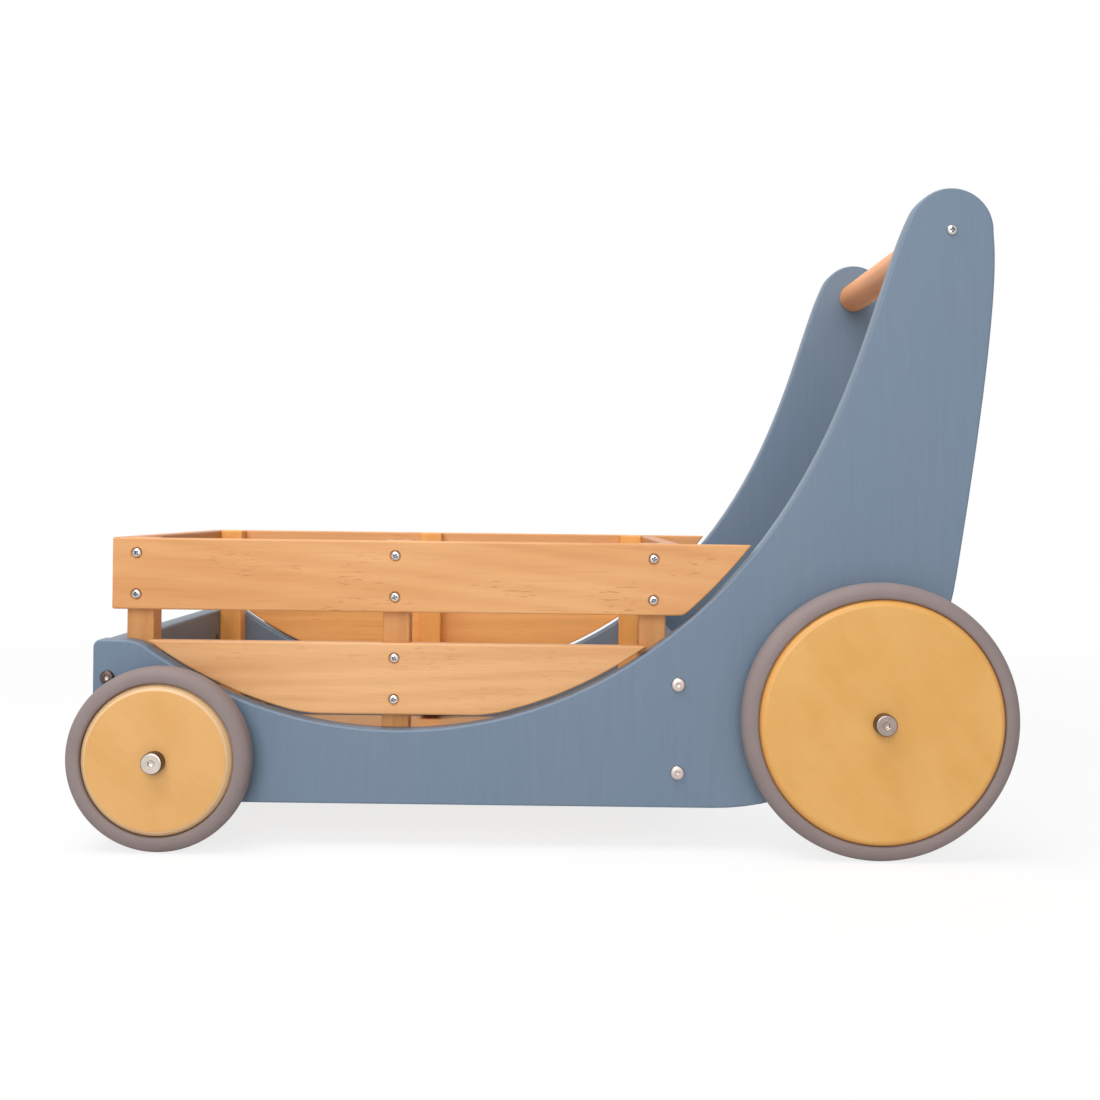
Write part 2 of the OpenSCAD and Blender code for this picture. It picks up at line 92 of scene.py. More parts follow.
# Studio floor, which glows more the further it lies from the object
FLOOR_SIZE = 14.0
FLOOR_CELLS = 8
FLOOR_SEEN = (0.95, 0.95, 0.95, 1.0)
FLOOR_BOUNCE = (0.6, 0.6, 0.6, 1.0)
FLOOR_NEAR = 0.55
FLOOR_FAR = 1.5
FLOOR_GLOW_NEAR = 0.8
FLOOR_GLOW_FAR = 1.0

# Corners nearer than this are one corner
WELD = 0.002 * MM
# Faces that meet at less than this are one flat face
FLAT_ANGLE = math.radians(0.4)
# Edges sharper than this are rounded
EDGE_ANGLE = math.radians(40)
# Edges blunter than this are shaded smooth
SMOOTH_ANGLE = math.radians(32)
# Share of an edge's direction that makes it run along an axis
AXIS_SHARE = 0.99
# Share of a face's direction that makes it part of a board's flat side
SIDE_SHARE = 0.8
# Groups of sharp edges that span no more than this are the rims of holes
HOLE_SPAN = 66 * MM
# Points this near a box count as inside it
BOX_MARGIN = 0.3 * MM
# Points of an outline nearer to a sharp corner than this many edge widths are taken away
TIP_REACH = 3.0
# Steps across a rounded edge, and on each side of a softened corner
ROUND_STEPS = 4
SOFT_STEPS = 4
# Choices of the fill of a flat side: everything is filled, and points this near are one
FILL_ALL = 0
FILL_CLOSE = 1e-8
# Digits of the places, in metres, by which solids are put in order
PLACE_DIGITS = 4

# The standard curve from screen values to linear light
SCREEN_TOP = 255
CURVE_KNEE = 0.04045
CURVE_SLOPE = 12.92
CURVE_OFFSET = 0.055
CURVE_POWER = 2.4


def linear(red, green, blue):
    """Linear colour of three 8-bit screen values."""
    colour = []
    for value in (red, green, blue):
        share = value / SCREEN_TOP
        if share <= CURVE_KNEE:
            colour.append(share / CURVE_SLOPE)
        else:
            colour.append(((share + CURVE_OFFSET) / (1 + CURVE_OFFSET)) ** CURVE_POWER)
    return (*colour, 1.0)


# Shader nodes


def add(tree, kind, inputs=None, **settings):
    """A new shader node with its settings, and its inputs set or linked."""
    made = tree.nodes.new(kind)
    for key, value in settings.items():
        setattr(made, key, value)
    for key, value in (inputs or {}).items():
        if isinstance(value, bpy.types.NodeSocket):
            tree.links.new(value, made.inputs[key])
        else:
            made.inputs[key].default_value = value
    return made


def sums(tree, operation, *values, **settings):
    """Result of a calculation on numbers."""
    inputs = dict(enumerate(values))
    return add(tree, "ShaderNodeMath", inputs, operation=operation, **settings).outputs[0]


def placed(tree, scale, shift=ZERO, turn=ZERO):
    """Object coordinates, turned, then scaled and moved."""
    source = add(tree, "ShaderNodeTexCoord").outputs["Object"]
    if any(turn):
        source = add(tree, "ShaderNodeMapping", {"Vector": source, "Rotation": turn}).outputs["Vector"]
    inputs = {"Vector": source, "Location": shift, "Scale": scale}
    return add(tree, "ShaderNodeMapping", inputs).outputs["Vector"]


def along(axis, lengthwise, across):
    """A scale that differs along one axis."""
    return tuple(lengthwise if k == axis else across for k in range(3))


def grain(tree, axis, lengthwise, across, detail, shift=ZERO, turn=ZERO):
    """Noise with so many marks per metre along an axis, and so many across it."""
    vector = placed(tree, along(axis, lengthwise, across), shift, turn)
    inputs = {"Vector": vector, "Scale": 1.0, "Detail": detail, "Roughness": 0.55}
    return add(tree, "ShaderNodeTexNoise", inputs).outputs["Fac"]


def speckle(tree, count, detail):
    """Noise with so many marks per metre in all directions."""
    return grain(tree, X, count, count, detail)


def ramp(tree, value, *stops):
    """Colour ramp with stops of (place, colour)."""
    made = add(tree, "ShaderNodeValToRGB", {"Fac": value})
    points = made.color_ramp.elements
    while len(points) < len(stops):
        points.new(0.5)
    for point, (place, colour) in zip(points, stops):
        point.position = place
        point.color = colour
    return made.outputs["Color"]


def between(tree, value, first, second, low=0.3, high=0.7):
    """One colour where a noise is low, and another where it is high."""
    return ramp(tree, value, (low, first), (high, second))


def greys(tree, value, *stops):
    """Grey ramp with stops of (place, brightness), for use as a number."""
    return ramp(tree, value, *((place, (level, level, level, 1.0)) for place, level in stops))


def mixed(tree, how, amount, first, second):
    """Two colours mixed."""
    made = add(tree, "ShaderNodeMix", data_type="RGBA", blend_type=how)
    sockets = {s.identifier: s for s in made.inputs}
    for key, value in (("Factor_Float", amount), ("A_Color", first), ("B_Color", second)):
        if isinstance(value, bpy.types.NodeSocket):
            tree.links.new(value, sockets[key])
        else:
            sockets[key].default_value = value
    return {s.identifier: s for s in made.outputs}["Result_Color"]


def shaded(tree, base, amount, value, *stops):
    """A colour darkened by a noise, with stops of (place, brightness)."""
    return mixed(tree, "MULTIPLY", amount, base, greys(tree, value, *stops))


def mapped(tree, value, low, high):
    """A 0 to 1 value spread over low to high."""
    inputs = {"Value": value, "To Min": low, "To Max": high}
    return add(tree, "ShaderNodeMapRange", inputs).outputs["Result"]


# Materials, in which every pattern has its size in marks per metre


def material(name, **values):
    """A new material with numbers set on its shader."""
    made = bpy.data.materials.new(name)
    made.use_nodes = True
    shader = made.node_tree.nodes["Principled BSDF"]
    for key, value in values.items():
        shader.inputs[key.replace("_", " ")].default_value = value
    return made, made.node_tree, shader


def feed(tree, shader, colour, roughness, height, strength, depth=0.1 * MM):
    """Links colour, roughness and bump to a shader."""
    inputs = {"Strength": strength, "Distance": depth, "Height": height}
    bump = add(tree, "ShaderNodeBump", inputs)
    tree.links.new(colour, shader.inputs["Base Color"])
    tree.links.new(roughness, shader.inputs["Roughness"])
    tree.links.new(bump.outputs["Normal"], shader.inputs["Normal"])


def paint():
    """Satin blue paint, with brush streaks that run upright."""
    made, tree, shader = material("blue_paint", Specular_IOR_Level=0.45)
    streaks = grain(tree, Z, 22, 520, 3.0)
    patches = grain(tree, Z, 6, 11, 2.0)
    base = between(tree, streaks, linear(107, 125, 144), linear(111, 129, 148))
    cast = between(tree, patches, (0.95, 0.97, 1.0, 1.0), (1.0, 0.99, 0.98, 1.0))
    colour = mixed(tree, "MULTIPLY", 1.0, base, cast)
    feed(tree, shader, colour, mapped(tree, streaks, 0.36, 0.46), streaks, 0.1)
    return made


def wood(name, axis, palette, pith, lean=ZERO, ring_count=24.0, contrast=0.35, flecks=0.3):
    """Varnished solid wood with its grain along an axis, and its rings round a pith beside the piece.

    The contrast is that of the rings, and flecks says how much the short dark marks show.
    """
    pale, deep, fleck = palette
    made, tree, shader = material(name, Specular_IOR_Level=0.4)
    spot = placed(tree, along(axis, 0.09, 1.0), pith, lean)
    inputs = {"Vector": spot, "Scale": ring_count, "Distortion": 9.0, "Detail": 3.0, "Detail Scale": 0.8}
    rings = add(
        tree, "ShaderNodeTexWave", inputs, wave_type="RINGS",
        rings_direction="XYZ"[axis], wave_profile="SIN",
    ).outputs["Fac"]
    fibre = grain(tree, axis, 26, 850, 3.0, pith)
    dashes = grain(tree, axis, 90, 850, 1.0, pith)
    strands = grain(tree, axis, 16, 380, 2.0, pith)
    groups = grain(tree, axis, 18, 48, 1.0, pith)
    cast = grain(tree, axis, 5, 20, 3.0, pith)
    base = between(tree, cast, pale, deep, 0.28, 0.72)
    base = mixed(tree, "MIX", contrast, base, between(tree, rings, pale, deep, 0.1, 0.95))
    base = shaded(tree, base, 0.8, fibre, (0.3, 0.93), (0.65, 1.0))
    base = shaded(tree, base, 1.0, strands, (0.56, 1.0), (0.7, 0.93))
    marks = greys(tree, dashes, (0.6, 0.0), (0.68, flecks))
    marks = shaded(tree, marks, 1.0, groups, (0.54, 0.0), (0.64, 1.0))
    colour = mixed(tree, "MIX", marks, base, fleck)
    feed(tree, shader, colour, mapped(tree, fibre, 0.36, 0.48), fibre, 0.18, 0.12 * MM)
    return made


def plywood(name, palette, turn, depth_axis, face_at, ply_t, veneer_t=0.45 * MM, figure=(22, 40)):
    """Plywood with a cloudy figure, whose plies show where an edge is eased.

    The plies lie along the depth axis, from a face at a distance from the middle plane.
    """
    pale, deep, edge, glue = palette
    made, tree, shader = material(name, Specular_IOR_Level=0.4)
    fibre = grain(tree, X, 60, 700, 4.0, turn=turn)
    cloud = grain(tree, X, *figure, 4.0, turn=turn)
    pores = grain(tree, X, 240, 1500, 1.0, turn=turn)
    base = between(tree, cloud, deep, pale, 0.32, 0.66)
    base = shaded(tree, base, 0.6, fibre, (0.3, 0.94), (0.62, 1.0))
    base = shaded(tree, base, 0.6, pores, (0.66, 1.0), (0.78, 0.88))
    parts = add(tree, "ShaderNodeSeparateXYZ", {"Vector": placed(tree, (1, 1, 1))})
    depth = sums(tree, "ABSOLUTE", parts.outputs[depth_axis])
    inner = sums(tree, "SUBTRACT", face_at - veneer_t, depth)
    part = sums(tree, "FRACT", sums(tree, "DIVIDE", inner, ply_t))
    plies = ramp(tree, part, (0.0, glue), (0.1, edge), (0.78, edge), (0.9, glue))
    under = sums(tree, "GREATER_THAN", inner, 0.0)
    colour = mixed(tree, "MIX", under, base, plies)
    feed(tree, shader, colour, mapped(tree, fibre, 0.32, 0.44), fibre, 0.15)
    return made


def rubber():
    """Matte mauve-grey rubber with a fine grain."""
    made, tree, shader = material("tyre_rubber", Specular_IOR_Level=0.3)
    fine = speckle(tree, 1600, 2.0)
    cloud = speckle(tree, 30, 3.0)
    base = between(tree, cloud, linear(137, 123, 121), linear(145, 131, 129))
    colour = shaded(tree, base, 0.5, fine, (0.3, 0.93), (0.7, 1.0))
    feed(tree, shader, colour, mapped(tree, cloud, 0.6, 0.72), fine, 0.2, 0.08 * MM)
    return made


def metal(name, dark, light, gloss, lengthwise=900):
    """Metal with fine tool marks, and a gloss of least and most roughness."""
    made, tree, shader = material(name, Metallic=1.0)
    marks = grain(tree, X, lengthwise, 900, 3.0)
    stain = speckle(tree, 140, 3.0)
    base = between(tree, stain, linear(*dark), linear(*light))
    feed(tree, shader, base, mapped(tree, marks, *gloss), marks, 0.12, 0.05 * MM)
    return made


def nylon(name, dark, light):
    """Moulded nylon with a faint texture."""
    made, tree, shader = material(name, Specular_IOR_Level=0.4)
    fine = speckle(tree, 900, 2.0)
    cloud = speckle(tree, 60, 3.0)
    base = between(tree, cloud, linear(*dark), linear(*light))
    feed(tree, shader, base, mapped(tree, fine, 0.4, 0.55), fine, 0.15)
    return made


# Palettes of pale wood, deep wood and flecks
PINE = (linear(231, 173, 115), linear(213, 146, 86), linear(176, 108, 54))
# Painted light: the far upper slat's palette, a brighter copy of the pine for a face that lies in the box's
# shade
FAR_UPPER_PINE_PAINTED_LIGHT = (linear(234, 173, 114), linear(216, 150, 90), linear(184, 114, 58))
# Painted shade: the cross slats' palette, a darker copy of the pine
CROSS_PINE_PAINTED_SHADE = (linear(210, 146, 88), linear(192, 124, 68), linear(160, 96, 48))
POST_PINE = (linear(226, 163, 98), linear(206, 138, 74), linear(172, 106, 52))
# Painted light: the far posts' palette, a brighter copy of the post pine
FAR_POST_PINE_PAINTED_LIGHT = (linear(252, 184, 102), linear(238, 162, 82), linear(196, 122, 56))
BEECH = (linear(255, 180, 118), linear(252, 164, 100), linear(210, 124, 70))
LOW_PINE = (linear(232, 178, 124), linear(215, 155, 98), linear(186, 120, 66))
# Painted light: the far lower slat's palette, a brighter copy of the lower slat's pine
FAR_LOW_PINE_PAINTED_LIGHT = (linear(250, 188, 116), linear(236, 168, 96), linear(196, 124, 62))

# Palettes of pale veneer, deep veneer, plies and glue
FLOOR_PLY = (linear(222, 172, 120), linear(208, 156, 104), linear(206, 156, 106), linear(150, 98, 58))
# The front and rear discs are one plywood: the front's paler plies and the rear's deeper orange plies are
# painted light and shade on their rims, over the real plies
FRONT_PLY_PAINTED_LIGHT = (linear(226, 174, 107), linear(220, 165, 96), linear(228, 190, 144), linear(204, 160, 110))
REAR_PLY_PAINTED_SHADE = (linear(227, 174, 99), linear(220, 164, 87), linear(224, 164, 88), linear(206, 146, 74))

# Places of the plywood faces, from the frame
FLOOR_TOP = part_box("floor_panel")[1].z
WHEEL_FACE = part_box("rear_wheel_disc_right")[1].y

looks = {
    "blue_paint": paint(),
    "slat_pine": wood(
        "slat_pine", X, PINE, pith=(6.5, 0.11, -0.07), lean=(0, -0.12, 0), contrast=0.25, flecks=0.55),
    "low_pine": wood("low_pine", X, LOW_PINE, pith=(0.03, 0.09, 0.05), lean=(0, 0.05, 0)),
    # The far slats' and far posts' looks are brighter copies of the near ones: painted light
    "far_pine_painted_light": wood("far_pine_painted_light", X, FAR_UPPER_PINE_PAINTED_LIGHT, pith=(0.1, -0.16, -0.05), lean=(0, -0.02, 0)),
    "far_low_pine_painted_light": wood("far_low_pine_painted_light", X, FAR_LOW_PINE_PAINTED_LIGHT, pith=(0.06, -0.12, 0.04), lean=(0, 0.03, 0)),
    # Painted shade: the cross slats' darker pine
    "cross_pine_painted_shade": wood("cross_pine_painted_shade", Y, CROSS_PINE_PAINTED_SHADE, pith=(0.12, 0.0, -0.06)),
    "post_pine": wood("post_pine", Z, POST_PINE, pith=(0.04, 0.05, 0.0)),
    "far_post_pine_painted_light": wood("far_post_pine_painted_light", Z, FAR_POST_PINE_PAINTED_LIGHT, pith=(0.05, -0.04, 0.0)),
    "handle_beech": wood("handle_beech", Y, BEECH, pith=(-0.21, 0.0, -0.36), ring_count=60.0),
    "floor_ply": plywood("floor_ply", FLOOR_PLY, ZERO, "Z", FLOOR_TOP, 1.5 * MM, figure=(5, 90)),
    "wheel_ply": plywood("wheel_ply", FRONT_PLY_PAINTED_LIGHT, (0, -0.8, 0), "Y", WHEEL_FACE, 1.4 * MM, 0.25 * MM),
    # Painted shade: the rear discs' plywood, with deeper orange plies on the rims
    "rear_ply_painted_shade": plywood("rear_ply_painted_shade", REAR_PLY_PAINTED_SHADE, (0, -0.9, 0), "Y", WHEEL_FACE, 1.4 * MM),
    "tyre_rubber": rubber(),
    "screw_zinc": metal("screw_zinc", (194, 191, 188), (210, 207, 204), (0.22, 0.34)),
    # Painted shade in the screws' cross recesses
    "screw_recess": metal("screw_recess", (124, 128, 136), (140, 144, 152), (0.4, 0.5)),
    "bolt_nickel": metal("bolt_nickel", (184, 172, 168), (198, 186, 182), (0.32, 0.44)),
    "nut_steel": metal("nut_steel", (84, 80, 78), (100, 96, 92), (0.4, 0.52)),
    # Painted shade in the bolts' sockets, and a painted dark reflection on the front bolts' heads
    "bolt_painted_shade_and_reflection": metal("bolt_painted_shade_and_reflection", (82, 68, 64), (104, 88, 82), (0.3, 0.4)),
    "cap_steel": metal("cap_steel", (195, 183, 173), (209, 198, 188), (0.24, 0.36)),
    # Painted dim reflection: a darker copy of the cap steel for the rear caps
    "cap_steel_painted_dim": metal("cap_steel_painted_dim", (152, 136, 128), (170, 154, 146), (0.24, 0.36)),
    # Painted shade in the caps' sockets and a painted dark reflection on their rims and sides
    "cap_painted_shade_and_reflection": metal("cap_painted_shade_and_reflection", (84, 70, 62), (98, 84, 74), (0.3, 0.42)),
    "axle_steel": metal("axle_steel", (166, 166, 168), (184, 184, 186), (0.28, 0.4), lengthwise=60),
    "collar_nylon": nylon("collar_nylon", (52, 52, 54), (62, 62, 64)),
    "bush_nylon": nylon("bush_nylon", (214, 208, 196), (224, 219, 208)),
}


# Pieces


def even_sides(mesh):
    """Keeps the shading of a board's two flat sides even, up to its rounded edges."""
    heights = [v.co.y for v in mesh.vertices]
    levels = (min(heights), max(heights))
    normals = [ZERO] * len(mesh.loops)
    for face in mesh.polygons:
        if abs(face.normal.y) < SIDE_SHARE:
            continue
        for k in face.loop_indices:
            height = heights[mesh.loops[k].vertex_index]
            if min(abs(height - level) for level in levels) < WELD:
                normals[k] = (0, math.copysign(1, face.normal.y), 0)
    mesh.normals_split_custom_set(normals)


def show(replaced, bm, look=None, dark=None, board=False):
    """A mesh as a piece that stands for a CAD node and rides on its body."""
    name = replaced + "_detail"
    bmesh.ops.recalc_face_normals(bm, faces=bm.faces)
    mesh = bpy.data.meshes.new(name)
    bm.to_mesh(mesh)
    bm.free()
    mesh.shade_smooth()
    mesh.set_sharp_from_angle(angle=SMOOTH_ANGLE)
    piece = bpy.data.objects.new(name, mesh)
    bpy.context.scene.collection.objects.link(piece)
    if board:
        even_sides(mesh)
    else:
        piece.modifiers.new("even_normals", "WEIGHTED_NORMAL").keep_sharp = True
    slot = slot_of[replaced]
    mesh.materials.append(looks[look or slot])
    if dark:
        mesh.materials.append(looks[dark])
    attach(piece, nodes[replaced]["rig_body"])
    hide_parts(replaced)


def welded(node):
    """A CAD node's mesh, with the corners that lie together made one."""
    bm = bmesh.new()
    bm.from_mesh(nodes[node].data)
    bmesh.ops.remove_doubles(bm, verts=bm.verts, dist=WELD)
    return bm


def limits(points):
    """Lowest and highest corner of some points."""
    low = Vector([min(p[k] for p in points) for k in range(3)])
    high = Vector([max(p[k] for p in points) for k in range(3)])
    return low, high


def span(points):
    """Longest side of the box round some points."""
    low, high = limits(points)
    return max(high - low)


def inside(point, low, high):
    """Whether a point lies in a box."""
    return all(low[k] - BOX_MARGIN <= point[k] <= high[k] + BOX_MARGIN for k in range(3))


# Boards with rounded edges


def runs_along(edge, axis):
    """Whether an edge runs along an axis."""
    first, second = edge.verts
    return abs((first.co - second.co).normalized()[axis]) > AXIS_SHARE


def joined_edges(edges):
    """Edges in groups that share corners."""
    groups = []
    waiting = {e.index: e for e in edges}
    while waiting:
        first = min(waiting)
        stack = [waiting.pop(first)]
        group = []
        while stack:
            edge = stack.pop()
            group.append(edge)
            for vert in edge.verts:
                for other in vert.link_edges:
                    if other.index in waiting:
                        stack.append(waiting.pop(other.index))
        groups.append(group)
    return groups


def softened(bm, width):
    """Rounds the two blunt corners at the bottom of a slat's outline."""
    bottom = min(v.co.z for v in bm.verts)
    flat = [v.co.x for v in bm.verts if v.co.z < bottom + WELD]
    for corner, way in ((min(flat), -1), (max(flat), 1)):
        for k in range(-SOFT_STEPS, SOFT_STEPS + 1):
            place = (corner + k * width / SOFT_STEPS, 0, 0)
            whole = bm.verts[:] + bm.edges[:] + bm.faces[:]
            bmesh.ops.bisect_plane(bm, geom=whole, dist=WELD, plane_co=place, plane_no=(1, 0, 0))
        columns = {}
        for vert in bm.verts:
            if abs(vert.co.x - corner) < width + WELD:
                columns.setdefault(round(vert.co.x / WELD), []).append(vert)
        lowest = []
        for verts in columns.values():
            level = min(v.co.z for v in verts)
            lowest += [v for v in verts if v.co.z < level + WELD]
        rise = max(v.co.z for v in lowest) - bottom
        for vert in lowest:
            share = (width + way * (vert.co.x - corner)) / (2 * width)
            vert.co.z = bottom + rise * share ** 2


def at_level(item, level):
    """Whether an edge or face lies in the plane of a flat side."""
    return all(abs(v.co.y - level) < WELD for v in item.verts)


def strip_side(bm, level):
    """Takes the faces of a flat side away."""
    bmesh.ops.delete(bm, geom=[f for f in bm.faces if at_level(f, level)], context="FACES")


def ordered(edges):
    """Corners of a closed chain of edges, in order."""
    beside = {}
    for edge in edges:
        first, second = edge.verts
        beside.setdefault(first, []).append(second)
        beside.setdefault(second, []).append(first)
    chain = [edges[0].verts[0], edges[0].verts[1]]
    while len(chain) < len(beside):
        chain.append([v for v in beside[chain[-1]] if v != chain[-2]][0])
    return chain


def rims(bm, level):
    """The rims in the plane of a side that has no faces, the widest first."""
    bm.edges.index_update()
    edges = [e for e in bm.edges if len(e.link_faces) == 1 and at_level(e, level)]
    chains = [ordered(group) for group in joined_edges(edges)]
    return sorted(chains, key=lambda chain: -span([v.co for v in chain]))


def enclosed(point, edges):
    """Whether a point lies inside some closed chains of edges, and in none of their holes."""
    crossed = 0
    for first, second in edges:
        if (first.y > point.y) != (second.y > point.y):
            share = (point.y - first.y) / (second.y - first.y)
            crossed += point.x < first.x + share * (second.x - first.x)
    return crossed % 2 == 1


def fill_side(bm, level):
    """Fills a flat side between its outline and the rims of its holes."""
    corners = []
    links = []
    for chain in rims(bm, level):
        start = len(corners)
        count = len(chain)
        links += [(start + k, start + (k + 1) % count) for k in range(count)]
        corners += chain
    points = [Vector((v.co.x, v.co.z)) for v in corners]
    edges = [(points[a], points[b]) for a, b in links]
    faces, sources = delaunay_2d_cdt(points, links, [], FILL_ALL, FILL_CLOSE, True)[2:4]
    bm.verts.index_update()
    for face in faces:
        three = [sources[k][0] for k in face]
        middle = sum((points[k] for k in three), Vector((0, 0))) / 3
        if enclosed(middle, edges):
            bm.faces.new(sorted((corners[k] for k in three), key=lambda v: v.index))


def sort_faces(bm):
    """Puts the faces in order of their corners, so that the order is the same each run."""
    bm.verts.index_update()
    order = sorted(bm.faces, key=lambda face: sorted(v.index for v in face.verts))
    rank = {face: k for k, face in enumerate(order)}
    bm.faces.sort(key=lambda face: rank[face])


def clear_tips(bm, reach):
    """Takes the points of an outline away that lie too near a sharp corner of it."""
    upright = [e for e in bm.edges if runs_along(e, Y) and len(e.link_faces) == 2]
    tips = [e for e in upright if e.calc_face_angle() > EDGE_ANGLE]
    near = []
    for edge in upright:
        gaps = [(edge.verts[0].co - tip.verts[0].co).xz.length for tip in tips]
        if edge not in tips and min(gaps, default=reach) < reach:
            near.append(edge)
    bmesh.ops.dissolve_edges(bm, edges=near, use_verts=True)


def outer_edges(bm):
    """The sharp edges, without the rims of holes."""
    bm.edges.index_update()
    sharp = [e for e in bm.edges if len(e.link_faces) == 2 and e.calc_face_angle() > EDGE_ANGLE]
    chosen = []
    for group in joined_edges(sharp):
        if span([v.co for e in group for v in e.verts]) > HOLE_SPAN:
            chosen += group
    return chosen


def eased(node, width, only=None, skip=None, soft=None, board=False):
    """A node's mesh with its outer edges rounded, and the rims of its holes left as they are.

    Only the edges along one axis may be rounded, and those in a box may be skipped. A board's two flat
    sides are bare outlines while its edges are rounded, and are filled again afterwards.
    """
    bm = welded(node)
    bmesh.ops.dissolve_limit(bm, angle_limit=FLAT_ANGLE, verts=bm.verts, edges=bm.edges)
    if soft:
        softened(bm, soft)
    levels = [pick(v.co.y for v in bm.verts) for pick in (min, max)] if board else []
    for level in levels:
        strip_side(bm, level)
        bm.faces.new(rims(bm, level)[0])
    bmesh.ops.recalc_face_normals(bm, faces=bm.faces)
    if board:
        clear_tips(bm, TIP_REACH * width)
    chosen = outer_edges(bm)
    if skip:
        chosen = [e for e in chosen if not all(inside(v.co, *skip) for v in e.verts)]
    if only is not None:
        chosen = [e for e in chosen if runs_along(e, only)]
    bmesh.ops.bevel(
        bm, geom=chosen, offset=width, offset_type="OFFSET", segments=ROUND_STEPS,
        profile=0.5, affect="EDGES", clamp_overlap=False, loop_slide=False,
    )
    for level in levels:
        strip_side(bm, level)
        fill_side(bm, level)
    sort_faces(bm)
    return bm


# Turned meshes


def turned(profile, count, closed=False, spin=0.0, dark=()):
    """A mesh turned round Z from points of (radius, height), which may be functions of the angle.

    The bands that dark lists, by their first points, take the second material.
    """
    bm = bmesh.new()
    angles = [2 * math.pi * k / count for k in range(count)]
    rings = []
    for radius, height in profile:
        if radius == 0:
            rings.append([bm.verts.new((0, 0, height))])
            continue
        ring = []
        for a in angles:
            r = radius(a) if callable(radius) else radius
            z = height(a) if callable(height) else height
            ring.append(bm.verts.new((r * math.cos(a + spin), r * math.sin(a + spin), z)))
        rings.append(ring)
    following = rings[1:] + (rings[:1] if closed else [])
    for band, (low, high) in enumerate(zip(rings, following)):
        for k in range(count):
            below = [low[k % len(low)], low[(k + 1) % len(low)]]
            above = [high[(k + 1) % len(high)], high[k % len(high)]]
            corners = list(dict.fromkeys(below + above))
            if len(corners) > 2:
                bm.faces.new(corners).material_index = int(band in dark)
    return bm


def arc(centre, radius, start, end, steps):
    """Points on an arc, with angles in degrees from the radius axis towards the height axis."""
    turn = [math.radians(start + (end - start) * k / steps) for k in range(steps + 1)]
    return [(centre[0] + radius * math.cos(a), centre[1] + radius * math.sin(a)) for a in turn]


def mirrored(points):
    """Points of a profile's upper half, turned over for its lower half."""
    return [(r, -h) for r, h in reversed(points)]


def hexagon(flats):
    """Radius of a hexagon by angle."""
    def radius(angle):
        folded = (angle + math.pi / 6) % (math.pi / 3) - math.pi / 6
        return flats / 2 / math.cos(folded)
    return radius


def cross(length, half):
    """Radius of a cross by angle."""
    def radius(angle):
        folded = abs((angle + math.pi / 4) % (math.pi / 2) - math.pi / 4)
        if math.tan(folded) < half / length:
            return length / math.cos(folded)
        return half / math.sin(folded)
    return radius


def moved(bm, at, direction):
    """A turned mesh put at a point with its axis along a direction."""
    turn = Vector((0, 0, 1)).rotation_difference(Vector(direction)).to_matrix().to_4x4()
    bmesh.ops.transform(bm, matrix=Matrix.Translation(at) @ turn, verts=bm.verts)
    return bm


def combined(parts):
    """Several meshes in one."""
    whole = bmesh.new()
    for bm in parts:
        mesh = bpy.data.meshes.new("part")
        bm.to_mesh(mesh)
        bm.free()
        whole.from_mesh(mesh)
        bpy.data.meshes.remove(mesh)
    return whole


def place_of(points):
    """Mean place of some points, rounded for putting solids in order."""
    return tuple(round(sum(p[k] for p in points) / len(points), PLACE_DIGITS) for k in range(3))


def solids(node):
    """The points of each separate solid of a CAD node, in order of place."""
    bm = welded(node)
    bm.verts.index_update()
    bm.verts.ensure_lookup_table()
    seen = set()
    found = []
    for vert in bm.verts:
        if vert.index in seen:
            continue
        seen.add(vert.index)
        stack = [vert]
        points = []
        while stack:
            here = stack.pop()
            points.append(here.co.copy())
            for edge in here.link_edges:
                other = edge.other_vert(here)
                if other.index not in seen:
                    seen.add(other.index)
                    stack.append(other)
        found.append(points)
    bm.free()
    return sorted(found, key=place_of)


def middle_of(node):
    """Middle of a node's box, and its size."""
    low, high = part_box(node)
    return (low + high) / 2, high - low


def outward(node):
    """Outward direction of a wheel-side piece."""
    return (0, -1, 0) if middle_of(node)[0].y < 0 else SIDEWAYS


# Fasteners

ROUND_COUNT = 96
# Turn from each fastener to the next, in radians
FASTENER_TURN = 2.4
SHANK_EASE = 0.5 * MM

# Screw heads: a dome in shares of its radius and height, a cross recess in shares of the head, and a shank
SCREW_HEIGHT = 2.0 * MM
SCREW_DOME = (
    (0.62, 0.02), (0.70, 0.10), (0.78, 0.22), (0.86, 0.38), (0.93, 0.58), (0.98, 0.80), (1.0, 1.0),
)
RECESS_ARM = 0.46
RECESS_HALF = 0.17
RECESS_DEPTH = 0.6
RECESS_LIP = 0.1
RECESS_FLOOR = 0.6
RECESS_FLARE = 1.12
RECESS_POINT = 0.15 * MM
SCREW_SHANK = 0.55
SCREW_TAPER = 2.0
SCREW_TIP = 0.1
# The recess's point and walls take a darker metal: painted shade in the recess
SCREW_DARK = (0, 1)

# Button-head bolts, with the socket's flats, depth, cone, lip and flare; the sockets' walls take painted
# shade, and the front bolts' heads a painted dark reflection
BOLT_HEIGHT = 2.7 * MM
BOLT_DOME = ((0.74, 0.01), (0.84, 0.07), (0.92, 0.2), (0.98, 0.45), (1.0, 0.8), (1.0, 1.0))
BOLT_SOCKET = (3.0 * MM, 1.7 * MM, 0.3 * MM, 0.15 * MM, 0.4 * MM)
BOLT_SHANK = 2.5 * MM
BOLT_DARK = (1,)
FRONT_BOLT_DARK = range(1, 9)


def dome(shares, head, height):
    """Points down a round head, from shares of its radius and height."""
    return [(r * head, -h * height) for r, h in shares]


def hexagon_socket(flats, deep, cone, lip, flare):
    """Points up a hexagon socket, from the tip of its cone to its flared rim at height 0."""
    return [
        (0, -deep - cone),
        (hexagon(flats), -deep),
        (hexagon(flats), -lip),
        (hexagon(flats + flare), 0.0),
    ]


